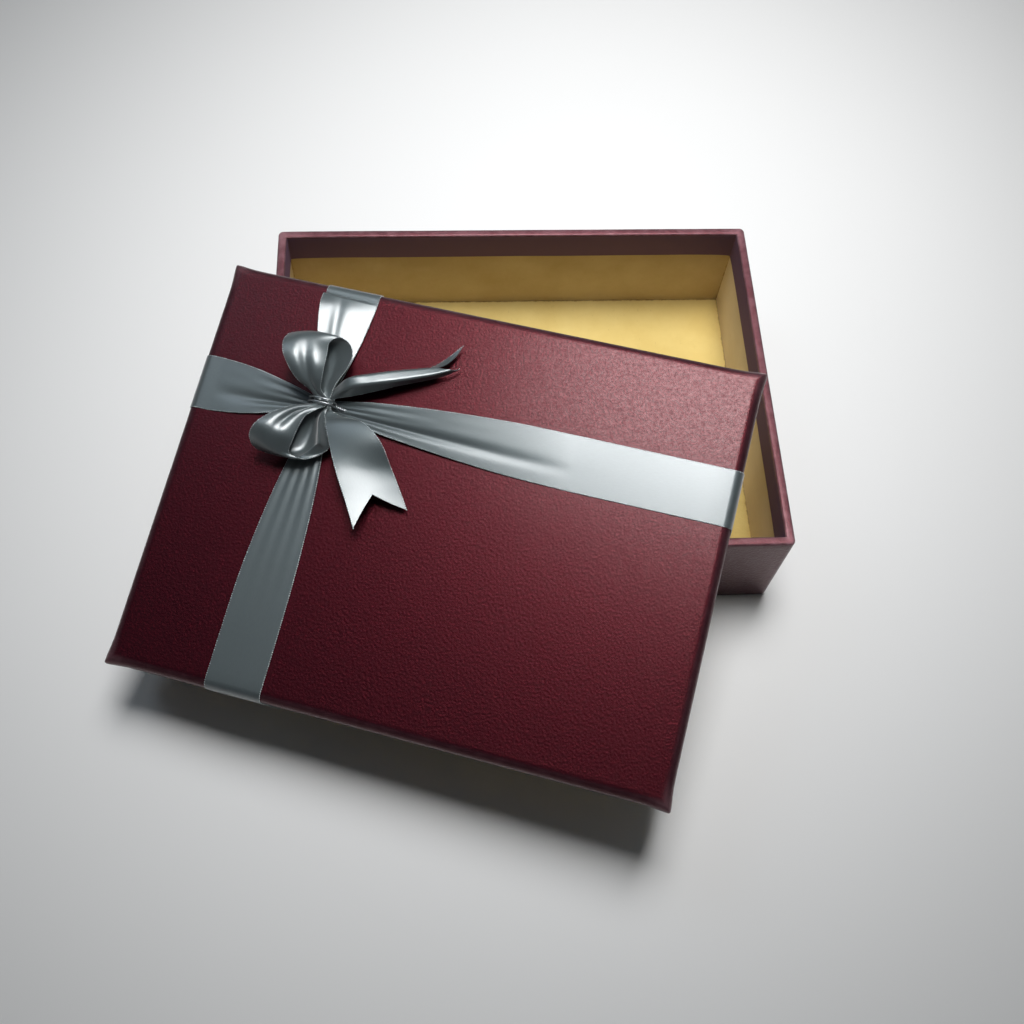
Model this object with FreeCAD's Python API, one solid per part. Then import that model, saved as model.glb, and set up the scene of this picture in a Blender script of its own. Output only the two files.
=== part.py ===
import FreeCAD, Part
import math
import os

from FreeCAD import Matrix, Vector

# A lift-off-lid gift box: two board trays covered in paper, with a ribbon cross and a bow on the lid.
# The base stands on the floor, centred on the origin with its underside at Z = 0. The lid lies askew
# on the base, as it does when it has just been taken off. All sizes are millimetres, +Z is up.

# Base, outside sizes with its paper
BASE_LENGTH = 191.5
BASE_WIDTH = 144.8
BASE_HEIGHT = 48.0
BASE_BOARD = 2.8
BASE_TURN_IN = 13.0
BASE_TURN_UNDER = 14.0
BASE_RIM_ROUND = 0.8

# Lid, outside sizes at its top edge. Its walls splay a little on the way down.
LID_LENGTH = 197.9
LID_WIDTH = 151.6
LID_HEIGHT = 25.7
LID_SPLAY = 0.4
LID_BOARD = 2.4
LID_TURN_IN = 12.0
LID_EDGE_ROUND = 3.2

# Covering paper and the paper tape on the board corners
PAPER = 0.3
CORNER_ROUND = 2.0
TAPE = 0.12
TAPE_LEG = 18.0
TAPE_SHORT_OF_EDGE = 3.0
MITRE_SLIT = 0.25

# How the lid lies: where its walls and its panel bear on the base, and how far it is turned
LID_BEARS_ON_LEFT_RIM = 108.5
LID_BEARS_ON_FRONT_RIM = 162.6
LID_TURN = -16.8
LID_CLEARANCE = 0.5

# Satin ribbon. Its two bands cross on the lid, off centre, and are drawn in at the knot.
RIBBON_WIDTH = 20.0
RIBBON = 0.3
RIBBON_TURN_IN = 10.0
LENGTHWISE_Y = 29.1
CROSSWISE_X = -51.8
KNOT = Vector(-49.3, 29.5, 0.0)
TAIL_NOTCH = 9.0
STEPS = 2

# Folds along the drawn-in ribbon: where each crease lies across the half width, and which way it goes
BAND_FOLDS = ((-1, 0), (-0.3, 0), (0.15, -1), (0.6, 0), (1, 0))
LOOP_FOLDS = ((-1, 1), (0, -1), (1, 1))
TAIL_FOLDS = ((-1, 0), (0, 1), (1, 0))

# The wire that binds the bow on the ribbon cross
WIRE = 1.0
WIRE_SIDES = 6
WIRE_PITCH = 1.5
WIRE_HALF_SPAN = 4.8
WIRE_LOW = 2.0
WIRE_HIGH = 8.1
WIRE_END = 4.0

LID_WALL = LID_BOARD + 2 * PAPER
LID_INSET = PAPER + LID_BOARD
BASE_INNER_LENGTH = BASE_LENGTH - 2 * (PAPER + BASE_BOARD)
BASE_INNER_WIDTH = BASE_WIDTH - 2 * (PAPER + BASE_BOARD)
CORNERS = {
    "front_left": (-1, -1),
    "front_right": (1, -1),
    "back_left": (-1, 1),
    "back_right": (1, 1),
}


def block(length, width, bottom, top):
    """A box centred on the Z axis between two heights."""
    return Part.makeBox(length, width, top - bottom, Vector(-length / 2, -width / 2, bottom))


def span_z(edge):
    return edge.BoundBox.ZMax - edge.BoundBox.ZMin


def round_uprights(shape, radius):
    """Round the edges that run from top to bottom."""
    tall = shape.BoundBox.ZLength / 2
    return shape.makeFillet(radius, [edge for edge in shape.Edges if span_z(edge) > tall])


def round_level(shape, height, radius):
    """Round every edge that lies at one height."""
    level = [e for e in shape.Edges if span_z(e) < 1e-4 and abs(e.BoundBox.ZMin - height) < 1e-4]
    return shape.makeFillet(radius, level)


def corner_block(side, leg, length, width, bottom, top):
    """A box over one corner of a plan rectangle, reaching one leg along both walls."""
    x = side[0] * (length / 2 - leg / 2)
    y = side[1] * (width / 2 - leg / 2)
    reach = block(2 * leg, 2 * leg, bottom, top)
    reach.translate(Vector(x + side[0] * leg / 2, y + side[1] * leg / 2, 0))
    return reach


def mitre_slits(length, width, bottom, top):
    """Thin upright cuts on the diagonals of a turned-in band's corners."""
    slits = []
    for side_x, side_y in CORNERS.values():
        slit = block(4 * PAPER, MITRE_SLIT, bottom, top)
        slit.rotate(Vector(0, 0, 0), Vector(0, 0, 1), math.degrees(math.atan2(side_y, side_x)))
        slit.translate(Vector(side_x * (length / 2 - PAPER), side_y * (width / 2 - PAPER), 0))
        slits.append(slit)
    return slits


# Base tray

def base_core(grow, bottom, top):
    """The tray's board block with its rounded corners, grown outward by a thickness."""
    size = 2 * (grow - PAPER)
    plain = block(BASE_LENGTH + size, BASE_WIDTH + size, bottom, top)
    return round_uprights(plain, CORNER_ROUND - PAPER + grow)


def base_nodes():
    """Five boards, four corner tapes, the side paper and the bottom paper."""
    floor = 2 * PAPER
    board_top = BASE_HEIGHT - PAPER
    core = base_core(0, floor, board_top)
    cavity = block(BASE_INNER_LENGTH, BASE_INNER_WIDTH, floor, BASE_HEIGHT)
    walls = core.cut(cavity)

    front_half = Part.makeBox(BASE_LENGTH, BASE_WIDTH, BASE_HEIGHT)
    front_half.translate(Vector(-BASE_LENGTH / 2, -BASE_INNER_WIDTH / 2 - BASE_WIDTH, 0))
    back_half = front_half.mirror(Vector(0, 0, 0), Vector(0, 1, 0))
    left_half = Part.makeBox(BASE_LENGTH, BASE_INNER_WIDTH, BASE_HEIGHT)
    left_half.translate(Vector(-BASE_INNER_LENGTH / 2 - BASE_LENGTH, -BASE_INNER_WIDTH / 2, 0))
    right_half = left_half.mirror(Vector(0, 0, 0), Vector(1, 0, 0))
    nodes = {
        "base_bottom_board": block(BASE_INNER_LENGTH, BASE_INNER_WIDTH, floor, floor + BASE_BOARD),
        "base_front_board": walls.common(front_half),
        "base_back_board": walls.common(back_half),
        "base_left_board": walls.common(left_half),
        "base_right_board": walls.common(right_half),
    }

    tape_low = floor + TAPE_SHORT_OF_EDGE
    tape_high = board_top - TAPE_SHORT_OF_EDGE
    tape_ring = base_core(TAPE, tape_low, tape_high).cut(core)
    tapes = []
    for name, side in CORNERS.items():
        reach = corner_block(side, TAPE_LEG, BASE_LENGTH, BASE_WIDTH, tape_low, tape_high)
        tapes.append(tape_ring.common(reach))
        nodes["base_corner_tape_" + name] = tapes[-1]

    outside = round_uprights(block(BASE_LENGTH, BASE_WIDTH, PAPER, BASE_HEIGHT), CORNER_ROUND)
    outside = round_level(outside, BASE_HEIGHT, BASE_RIM_ROUND)
    band_low = BASE_HEIGHT - BASE_TURN_IN
    below_band = block(BASE_INNER_LENGTH, BASE_INNER_WIDTH, floor, band_low)
    inside_band = block(BASE_INNER_LENGTH - 2 * PAPER, BASE_INNER_WIDTH - 2 * PAPER, band_low, BASE_HEIGHT)
    window_length = BASE_LENGTH - 2 * BASE_TURN_UNDER
    window = block(window_length, BASE_WIDTH - 2 * BASE_TURN_UNDER, PAPER, floor)
    wrap = outside.cut([walls, below_band, inside_band, window])
    inner_rim = [
        edge for edge in wrap.Edges
        if span_z(edge) < 1e-4
        and abs(edge.BoundBox.ZMin - BASE_HEIGHT) < 1e-4
        and edge.BoundBox.XMax < BASE_INNER_LENGTH / 2
        and edge.BoundBox.XMin > -BASE_INNER_LENGTH / 2
        and edge.BoundBox.YMax < BASE_INNER_WIDTH / 2
        and edge.BoundBox.YMin > -BASE_INNER_WIDTH / 2
    ]
    wrap = wrap.makeFillet(BASE_RIM_ROUND, inner_rim)
    slits = mitre_slits(BASE_INNER_LENGTH, BASE_INNER_WIDTH, band_low, BASE_HEIGHT - 2 * BASE_RIM_ROUND)
    nodes["base_side_paper"] = wrap.cut(tapes + slits)

    sheet_gap = CORNER_ROUND
    sheet = block(BASE_LENGTH - 2 * sheet_gap, BASE_WIDTH - 2 * sheet_gap, 0, PAPER)
    nodes["base_bottom_paper"] = round_uprights(sheet, CORNER_ROUND)
    return nodes


# Lid tray, in its own frame: the origin is the middle of its top face

def splay(z):
    """How far the lid's outside has moved out at a height below its top."""
    return -z * LID_SPLAY / LID_HEIGHT


def flat_face(points):
    return Part.Face(Part.makePolygon(points + points[:1]))


def lid_taper(inset, top, bottom, reach_x=0.0):
    """The lid's tapering block, set in from its outside, or drawn out past its end walls."""
    rings = []
    for z in (bottom, top):
        half_length = LID_LENGTH / 2 + splay(z) - inset + reach_x
        half_width = LID_WIDTH / 2 + splay(z) - inset
        corners = ((-1, -1), (1, -1), (1, 1), (-1, 1))
        rings.append([Vector(x * half_length, y * half_width, z) for x, y in corners])
    low, high = rings
    walls = [flat_face([low[i - 1], low[i], high[i], high[i - 1]]) for i in range(len(low))]
    return Part.Solid(Part.Shell([flat_face(low[::-1]), flat_face(high)] + walls))


def lid_nodes():
    """Five boards, four corner tapes and the covering paper."""
    board_top = -PAPER
    board_low = -LID_HEIGHT + PAPER
    band_high = -LID_HEIGHT + LID_TURN_IN
    core = round_level(lid_taper(PAPER, board_top, board_low), board_top, LID_EDGE_ROUND - PAPER)
    walls = core.cut(lid_taper(LID_INSET, board_top, board_low))

    far = LID_LENGTH
    between_long_walls = lid_taper(LID_INSET, 0, -LID_HEIGHT, reach_x=far)
    beyond = far * 2
    left_side = Part.makeBox(beyond, beyond, LID_HEIGHT, Vector(-beyond, -far, -LID_HEIGHT))
    front_side = Part.makeBox(beyond, beyond, LID_HEIGHT, Vector(-far, -beyond, -LID_HEIGHT))
    short_walls = walls.common(between_long_walls)
    long_walls = walls.cut(between_long_walls)
    panel = core.common(lid_taper(LID_INSET, board_top, board_top - LID_BOARD))
    nodes = {
        "lid_panel_board": panel,
        "lid_front_board": long_walls.common(front_side),
        "lid_back_board": long_walls.cut(front_side),
        "lid_left_board": short_walls.common(left_side),
        "lid_right_board": short_walls.cut(left_side),
    }

    tape_high = -LID_EDGE_ROUND
    tape_low = -LID_HEIGHT + TAPE_SHORT_OF_EDGE
    tape_ring = lid_taper(PAPER - TAPE, tape_high, tape_low).cut(core)
    tapes = []
    for name, side in CORNERS.items():
        reach = corner_block(side, TAPE_LEG, LID_LENGTH, LID_WIDTH, tape_low, tape_high)
        tapes.append(tape_ring.common(reach))
        nodes["lid_corner_tape_" + name] = tapes[-1]

    outside = round_level(lid_taper(0, 0, -LID_HEIGHT), 0, LID_EDGE_ROUND)
    above_band = lid_taper(LID_INSET, board_top - LID_BOARD, band_high)
    inside_band = lid_taper(LID_WALL, band_high, -LID_HEIGHT)
    wrap = outside.cut([walls, panel, above_band, inside_band])
    low_length = LID_LENGTH + 2 * LID_SPLAY - 2 * LID_INSET
    low_width = LID_WIDTH + 2 * LID_SPLAY - 2 * LID_INSET
    slits = mitre_slits(low_length, low_width, -LID_HEIGHT + PAPER, band_high)
    nodes["lid_paper"] = wrap.cut(tapes + slits)
    return nodes


# Ribbon

def ribbon_cut(left, right, normal, crown, depth, folds):
    """The closed outline of a ribbon cut across: straight panels between the creases of its folds."""
    rows = []
    for lift in (RIBBON, 0.0):
        row = []
        for t, fold in folds:
            rise = crown * (1 - t * t) + depth * fold + lift
            row.append(left + (right - left) * ((1 + t) / 2) + normal * rise)
        rows.append(row)
    upper, lower = rows
    return Part.makePolygon(upper + lower[::-1] + upper[:1])


def ease(keys):
    """Rows of numbers eased through key rows, STEPS rows to every gap (Catmull-Rom)."""
    last = len(keys) - 1
    rows = []
    for i in range(last):
        p, a, b, n = (keys[min(max(j, 0), last)] for j in range(i - 1, i + 3))
        for step in range(STEPS):
            u = step / STEPS
            rows.append([
                a[k] + u * ((b[k] - p[k]) / 2 + u * (
                    p[k] - 2.5 * a[k] + 2 * b[k] - n[k] / 2 + u * (1.5 * (a[k] - b[k]) + (n[k] - p[k]) / 2)))
                for k in range(len(a))
            ])
    rows.append(list(keys[last]))
    return rows


def strip(keys, folds):
    """A ribbon lofted through key rows: left edge x, y, z, right edge x, y, z, crown, depth of its folds."""
    rows = ease(keys)
    edges = [(Vector(*row[:3]), Vector(*row[3:6])) for row in rows]
    cuts = []
    for i, (left, right) in enumerate(edges):
        before = edges[max(i - 1, 0)]
        after = edges[min(i + 1, len(rows) - 1)]
        heading = after[0] + after[1] - before[0] - before[1]
        normal = (right - left).cross(heading).normalize()
        cuts.append(ribbon_cut(left, right, normal, *rows[i][6:], folds))
    return Part.makeLoft(cuts, True, True)


def edge_wrap(half_span, start):
    """The ribbon's outline along its length, from the top face round one wall to inside the lid."""
    slope = math.atan2(LID_SPLAY, LID_HEIGHT)
    out = Vector(math.cos(slope), 0, math.sin(slope))
    down = Vector(math.sin(slope), 0, -math.cos(slope))
    tangent = LID_EDGE_ROUND * math.tan(math.pi / 4 - slope / 2)
    bend = Vector(half_span - tangent, 0, -LID_EDGE_ROUND)
    middle = (Vector(0, 0, 1) + out).normalize()
    foot = Vector(half_span + LID_SPLAY, 0, -LID_HEIGHT)
    heel = foot - Vector(LID_WALL, 0, 0)
    paths = []
    for lift in (0.0, RIBBON):
        radius = LID_EDGE_ROUND + lift
        level = Vector(start, 0, lift)
        over = bend + Vector(0, 0, radius)
        wall = bend + out * radius
        low = -LID_HEIGHT - lift
        foot_out = Vector(half_span + (lift - math.sin(slope) * low) / math.cos(slope), 0, low)
        heel_in = Vector(heel.x - lift * (1 - math.sin(slope)) / math.cos(slope), 0, low)
        end = heel - out * lift - down * RIBBON_TURN_IN
        turn = Part.Arc(over, bend + middle * radius, wall).toShape()
        paths.append((level, over, turn, wall, foot_out, heel_in, end))
    near, far = paths
    edges = [Part.makeLine(near[0], near[1]), near[2], Part.makeLine(near[3], near[4])]
    edges += [Part.makeLine(near[4], near[5]), Part.makeLine(near[5], near[6]), Part.makeLine(near[6], far[6])]
    edges += [Part.makeLine(far[6], far[5]), Part.makeLine(far[5], far[4]), Part.makeLine(far[4], far[3])]
    edges += [far[2], Part.makeLine(far[1], far[0]), Part.makeLine(far[0], near[0])]
    face = Part.Face(Part.Wire(Part.__sortEdges__(edges)))
    face.translate(Vector(0, -RIBBON_WIDTH / 2, 0))
    return face.extrude(Vector(0, RIBBON_WIDTH, 0))


def band(half_span, knot_along, knot_beside, gather):
    """One ribbon over the lid along X: flat at both edges, drawn up in a fold to a waist at the knot.
    Each row of gather is a place from the knot, the lift off the lid, the width and the fold's depth."""
    waist = min(row[2] for row in gather)
    keys = []
    for along, lift, width, depth in gather:
        beside = knot_beside * (RIBBON_WIDTH - width) / (RIBBON_WIDTH - waist)
        x, z = knot_along + along, lift + depth
        keys.append((x, beside + width / 2, z, x, beside - width / 2, z, 0, depth))
    left = edge_wrap(half_span, -keys[0][0])
    left.rotate(Vector(0, 0, 0), Vector(0, 0, 1), 180)
    right = edge_wrap(half_span, keys[-1][0])
    return strip(keys, BAND_FOLDS).fuse([left, right]).removeSplitter()


def ribbon_nodes():
    """The lengthwise and the crosswise band, each glued inside the lid at both ends."""
    lengthwise = band(LID_LENGTH / 2, KNOT.x, KNOT.y - LENGTHWISE_Y, (
        (-42, 0.0, 20.0, 0.0),
        (-30, 0.1, 17.5, 0.5),
        (-15, 0.2, 11.0, 0.8),
        (-4, 0.1, 5.5, 0.4),
        (4, 0.1, 5.5, 0.4),
        (18, 0.4, 10.0, 0.9),
        (42, 0.3, 15.0, 0.9),
        (68, 0.1, 18.8, 0.4),
        (92, 0.0, 20.0, 0.0),
    ))
    lengthwise.translate(Vector(0, LENGTHWISE_Y, 0))
    crosswise = band(LID_WIDTH / 2, KNOT.y, CROSSWISE_X - KNOT.x, (
        (-88, 0.0, 20.0, 0.0),
        (-62, 0.1, 18.8, 0.2),
        (-36, 0.4, 14.5, 0.5),
        (-16, 1.2, 9.5, 0.6),
        (-4, 2.6, 5.0, 0.4),
        (4, 2.6, 5.0, 0.4),
        (15, 1.3, 10.5, 0.6),
        (27, 0.3, 16.0, 0.6),
        (39, 0.0, 20.0, 0.0),
    ))
    crosswise.rotate(Vector(0, 0, 0), Vector(0, 0, 1), 90)
    crosswise.translate(Vector(CROSSWISE_X, 0, 0))
    return {"lengthwise_ribbon": lengthwise, "crosswise_ribbon": crosswise}


# Bow, measured from the knot

def notch(end, inner):
    """The V that is cut out of a tail's end, as a wedge to take away, from its two last key rows."""
    left, right = Vector(*end[:3]), Vector(*end[3:6])
    middle = (left + right) * 0.5
    inward = ((Vector(*inner[:3]) + Vector(*inner[3:6])) * 0.5 - middle).normalize()
    normal = (right - left).cross(inward).normalize()
    wedge = flat_face([left - inward, middle + inward * TAIL_NOTCH, right - inward])
    wedge.translate(normal * -RIBBON_WIDTH / 2)
    return wedge.extrude(normal * RIBBON_WIDTH)


def bow_nodes():
    """One strip for both loops and one below it for both tails, drawn in to a waist at the knot."""
    loops = strip((
        (-2.3, 0.3, 6.6, 2.3, 0.3, 6.6, 0.0, 0.3),
        (-2.7, 1.5, 6.7, 1.8, 1.6, 6.7, 0.0, 0.3),
        (-5.0, 3.2, 8.8, -0.6, 3.6, 8.9, 0.0, 0.5),
        (-8.9, 4.8, 11.8, -0.4, 6.4, 12.4, 0.2, 0.7),
        (-12.6, 8.3, 14.2, -0.2, 10.6, 15.0, 0.5, 0.6),
        (-15.6, 12.6, 14.6, -0.5, 15.2, 15.8, 0.8, 0.3),
        (-16.9, 17.4, 13.0, -1.2, 19.6, 14.8, 1.2, 0.1),
        (-16.0, 21.4, 9.6, 1.2, 22.8, 12.4, 1.2, 0.0),
        (-13.6, 21.6, 6.0, 4.4, 22.4, 9.4, 1.0, 0.0),
        (-11.0, 17.5, 4.4, 6.6, 18.8, 7.2, 0.6, -0.6),
        (-8.0, 11.5, 4.6, 6.0, 13.4, 6.4, 0.3, -0.9),
        (-4.8, 5.6, 5.4, 3.2, 7.0, 6.2, 0.0, -0.5),
        (-2.4, 2.2, 5.5, 2.4, 2.2, 5.5, 0.0, 0.3),
        (-2.4, -2.2, 5.5, 2.4, -2.2, 5.5, 0.0, 0.3),
        (-5.4, -5.6, 5.4, 2.8, -6.2, 6.0, 0.0, -0.4),
        (-8.6, -11.5, 4.6, 5.2, -11.4, 5.6, 0.2, -0.6),
        (-11.8, -19.0, 4.4, 7.4, -16.6, 5.0, 0.4, -0.4),
        (-17.0, -21.8, 6.8, 1.0, -21.2, 6.4, 0.8, 0.0),
        (-19.2, -19.0, 11.4, -4.4, -21.8, 9.6, 1.2, 0.0),
        (-17.6, -14.9, 14.0, -3.7, -17.0, 12.8, 1.2, 0.1),
        (-13.9, -10.0, 13.0, -3.2, -12.0, 12.2, 0.8, 0.4),
        (-9.0, -5.4, 10.6, -2.6, -7.4, 10.6, 0.3, 0.6),
        (-4.6, -2.9, 8.2, -0.2, -3.8, 8.3, 0.0, 0.4),
        (-2.7, -1.5, 6.7, 1.8, -1.7, 6.7, 0.0, 0.3),
        (-2.3, -0.3, 6.6, 2.3, -0.3, 6.6, 0.0, 0.3),
    ), LOOP_FOLDS)
    tail_keys = (
        (24.4, -41.2, 7.0, 39.2, -30.0, 2.2, 0.4, 0.0),
        (18.9, -32.5, 7.4, 35.3, -24.0, 3.6, 0.6, 0.0),
        (13.0, -23.7, 7.2, 31.2, -18.2, 6.4, 0.8, 0.0),
        (8.1, -15.0, 7.6, 25.7, -10.7, 9.6, 0.8, 0.0),
        (4.3, -8.0, 6.6, 17.5, -4.9, 8.6, 0.6, 0.0),
        (2.4, -4.6, 4.6, 8.6, -3.6, 5.0, 0.2, 0.0),
        (-1.2, -2.2, 4.2, 3.6, -1.6, 4.2, 0.0, 0.0),
        (-1.2, 2.2, 4.2, 3.6, 1.6, 4.2, 0.0, 0.0),
        (2.8, 6.0, 4.1, 6.8, 3.1, 4.2, 0.0, 0.6),
        (6.9, 10.3, 3.6, 9.9, 5.1, 4.5, 0.3, 3.6),
        (13.3, 13.7, 3.0, 14.9, 7.6, 3.8, 0.3, 6.8),
        (20.7, 16.3, 4.0, 21.7, 11.4, 4.0, 0.3, 7.6),
        (27.6, 20.0, 4.6, 28.8, 15.6, 4.0, 0.3, 7.9),
        (34.0, 23.0, 5.4, 35.6, 19.3, 4.0, 0.3, 7.9),
        (39.6, 26.6, 6.6, 40.6, 22.4, 3.6, 0.3, 7.9),
        (44.5, 30.3, 7.4, 43.1, 24.2, 3.0, 0.3, 8.0),
    )
    tails = strip(tail_keys, TAIL_FOLDS)
    tails = tails.cut([notch(tail_keys[0], tail_keys[1]), notch(tail_keys[-1], tail_keys[-2])])
    nodes = {"bow_loops": loops, "bow_tails": tails, "bow_tie_wire": tie_wire()}
    for shape in nodes.values():
        shape.translate(KNOT)
    return nodes


def arc_from(start, heading, end):
    """The arc that leaves a point along a heading and reaches another point."""
    chord = end - start
    half = chord.Length / 2
    along = Vector(chord).normalize()
    aside = heading - along * heading.dot(along)
    angle = math.atan2(aside.Length, heading.dot(along))
    middle = (start + end) * 0.5 + aside.normalize() * (half * math.tan(angle / 2))
    return Part.Arc(start, middle, end).toShape()


def biarc(start, heading, end, arrival):
    """Two arcs that join two points and keep the headings at both."""
    chord = end - start
    both = heading + arrival
    k = 2 * (1 - heading.dot(arrival))
    reach = (-chord.dot(both) + math.sqrt(chord.dot(both) ** 2 + k * chord.dot(chord))) / k
    meet = (start + heading * reach + end - arrival * reach) * 0.5
    through = (end - arrival * reach - start - heading * reach).normalize()
    return [arc_from(start, heading, meet), arc_from(meet, through, end)]


def tie_wire():
    """The wire's two turns over the bow and under the crosswise ribbon, with both ends at the right."""
    middle = (WIRE_LOW + WIRE_HIGH) / 2
    first = -0.75 * WIRE_PITCH
    sides = (
        ((0, WIRE_HIGH), (-1, 0)),
        ((-WIRE_HALF_SPAN, middle), (0, -1)),
        ((0, WIRE_LOW), (1, 0)),
        ((WIRE_HALF_SPAN, middle), (0, 1)),
    )
    end_x = WIRE_HALF_SPAN + WIRE_END
    route = [(Vector(end_x, first - WIRE_PITCH / 2, middle), Vector(-0.8, 0, 0.6))]
    for quarter in range(7):
        (x, z), (dx, dz) = sides[quarter % 4]
        route.append((Vector(x, first + WIRE_PITCH * quarter / 4, z), Vector(dx, 0, dz)))
    route.append((Vector(end_x, first + 2 * WIRE_PITCH, middle - WIRE), Vector(0.8, 0, 0.6)))
    edges = []
    for (start, heading), (end, arrival) in zip(route, route[1:]):
        edges += biarc(start, heading, end, arrival)
    path = Part.Wire(edges)
    points = path.discretize(Number=400)
    apart = 30
    gap = min(
        (points[i] - points[j]).Length - WIRE
        for i in range(len(points))
        for j in range(i + apart, len(points))
    )
    print("bow_tie_wire least gap to itself", round(gap, 2), "mm")
    start, heading = route[0]
    aside = Vector(0, 1, 0)
    upward = heading.cross(aside)
    rim = []
    for corner in range(WIRE_SIDES + 1):
        turn = 2 * math.pi * corner / WIRE_SIDES
        rim.append(start + (aside * math.cos(turn) + upward * math.sin(turn)) * (WIRE / 2))
    return path.makePipeShell([Part.makePolygon(rim)], True, False)


# The lid as it lies on the base

def lid_rest():
    """Where the lid lies when its panel bears on the base's front left corner and its back and right
    walls bear on the left and front rims."""
    corner = Vector(-BASE_LENGTH / 2, -BASE_WIDTH / 2, BASE_HEIGHT + LID_CLEARANCE)
    on_left = corner + Vector(0, LID_BEARS_ON_LEFT_RIM, 0)
    on_front = corner + Vector(LID_BEARS_ON_FRONT_RIM, 0, 0)
    depth = LID_HEIGHT - LID_INSET
    lean_x = -depth / LID_BEARS_ON_FRONT_RIM
    lean_y = -depth / LID_BEARS_ON_LEFT_RIM
    up = Vector(lean_x, lean_y, math.sqrt(1 - lean_x ** 2 - lean_y ** 2))
    turn = math.radians(LID_TURN)
    along = Vector(math.cos(turn), math.sin(turn), 0)
    along = (along - up * along.dot(up)).normalize()
    back = up.cross(along)
    x = on_front.dot(along) - (LID_LENGTH / 2 + LID_SPLAY - LID_WALL)
    y = on_left.dot(back) - (LID_WIDTH / 2 + LID_SPLAY - LID_WALL)
    z = on_left.dot(up) + LID_HEIGHT
    origin = along * x + back * y + up * z
    return Matrix(
        along.x, back.x, up.x, origin.x,
        along.y, back.y, up.y, origin.y,
        along.z, back.z, up.z, origin.z,
    )


os.makedirs("parts", exist_ok=True)
for name, shape in base_nodes().items():
    shape.exportStep("parts/" + name + ".step")
resting = FreeCAD.Placement(lid_rest())
for pieces in (lid_nodes(), ribbon_nodes(), bow_nodes()):
    for name, shape in pieces.items():
        shape.Placement = resting.multiply(shape.Placement)
        shape.exportStep("parts/" + name + ".step")
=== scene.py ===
import math

import bpy
import numpy as np
from mathutils import Matrix, Vector


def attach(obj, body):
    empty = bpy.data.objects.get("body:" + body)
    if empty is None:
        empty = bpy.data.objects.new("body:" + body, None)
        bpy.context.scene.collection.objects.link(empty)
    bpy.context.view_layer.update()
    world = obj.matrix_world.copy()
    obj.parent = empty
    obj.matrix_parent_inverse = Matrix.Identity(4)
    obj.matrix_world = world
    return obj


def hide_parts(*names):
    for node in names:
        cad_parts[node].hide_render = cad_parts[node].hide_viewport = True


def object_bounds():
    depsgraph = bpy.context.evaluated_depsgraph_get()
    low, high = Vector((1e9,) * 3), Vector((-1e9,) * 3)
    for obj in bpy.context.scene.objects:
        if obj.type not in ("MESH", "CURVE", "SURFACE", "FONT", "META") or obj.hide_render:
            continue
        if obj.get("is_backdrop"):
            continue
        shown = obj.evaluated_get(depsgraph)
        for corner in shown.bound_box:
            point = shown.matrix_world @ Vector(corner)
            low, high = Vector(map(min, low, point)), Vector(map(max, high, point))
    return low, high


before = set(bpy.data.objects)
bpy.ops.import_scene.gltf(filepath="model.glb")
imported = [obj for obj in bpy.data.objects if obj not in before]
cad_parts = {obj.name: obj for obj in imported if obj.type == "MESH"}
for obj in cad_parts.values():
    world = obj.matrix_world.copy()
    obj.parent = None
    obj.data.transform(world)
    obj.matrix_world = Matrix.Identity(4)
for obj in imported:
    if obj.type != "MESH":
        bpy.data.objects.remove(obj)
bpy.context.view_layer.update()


# Table and light
# A white table under one soft overhead lamp that fades outward, with a weak cool fill from the left. Past
# the lamp's reach the table and the room only look pale. The camera stands where the photograph's did.

MM = 0.001
SENSOR_WIDTH = 36.0
LENS = 40.0987
CAMERA_PLACE = (-27.915, -238.744, 416.241)
CAMERA_AZIMUTH = -6.867
CAMERA_ELEVATION = 63.584
CAMERA_ROLL = 5.0185
LAMP_PLACE = (0.08, 0.20, 0.85)
LAMP_SIZE = (0.33, 0.52)
LAMP_POWER = 1.27
LAMP_AIM = (0.03, 0.10, 0.0)
LAMP_SPREAD = 59.0
FILL_PLACE = (-0.55, 0.45, 0.95)
FILL_SIZE = 0.5
FILL_POWER = 0.10
FILL_AIM = (-0.05, 0.03, 0.05)
FILL_SPREAD = 50.0
FILL_COLOUR = (0.72, 0.86, 1.0)
ROOM_BRIGHT_WAY = (0.30, 0.60, 0.74)
ROOM_DARK = (0.035, 0.038, 0.040, 1)
ROOM_LIGHT = (0.10, 0.104, 0.107, 1)
ROOM_SEEN = (0.40, 0.405, 0.41, 1)
TABLE_HALF = 3.0
TABLE_WHITE = (0.80, 0.80, 0.795, 1)
TABLE_SHADE = (0.776, 0.776, 0.77115, 1)
TABLE_CLOUD = 6.0
FAR_START = 0.40
FAR_END = 0.78
FAR_GLOW = 0.38
WHITE = (1, 1, 1, 1)


def feed(tree, socket, value):
    """Give a node's input a value, or a link from another node's output."""
    if isinstance(value, bpy.types.NodeSocket):
        tree.links.new(value, socket)
    else:
        socket.default_value = value


def put(tree, kind, inputs=None, **options):
    """Add a node with its options and its inputs, and return it."""
    node = tree.nodes.new(kind)
    for option, value in options.items():
        setattr(node, option, value)
    for name, value in (inputs or {}).items():
        feed(tree, node.inputs[name], value)
    return node


def ramp(tree, factor, stops):
    """A colour ramp through stops of place and colour."""
    node = put(tree, "ShaderNodeValToRGB", {"Fac": factor})
    elements = node.color_ramp.elements
    while len(elements) < len(stops):
        elements.new(0.5)
    for element, (place, colour) in zip(elements, stops):
        element.position = place
        element.color = colour
    return node.outputs["Color"]


scene = bpy.context.scene
scene.view_settings.view_transform = "Standard"

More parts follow.
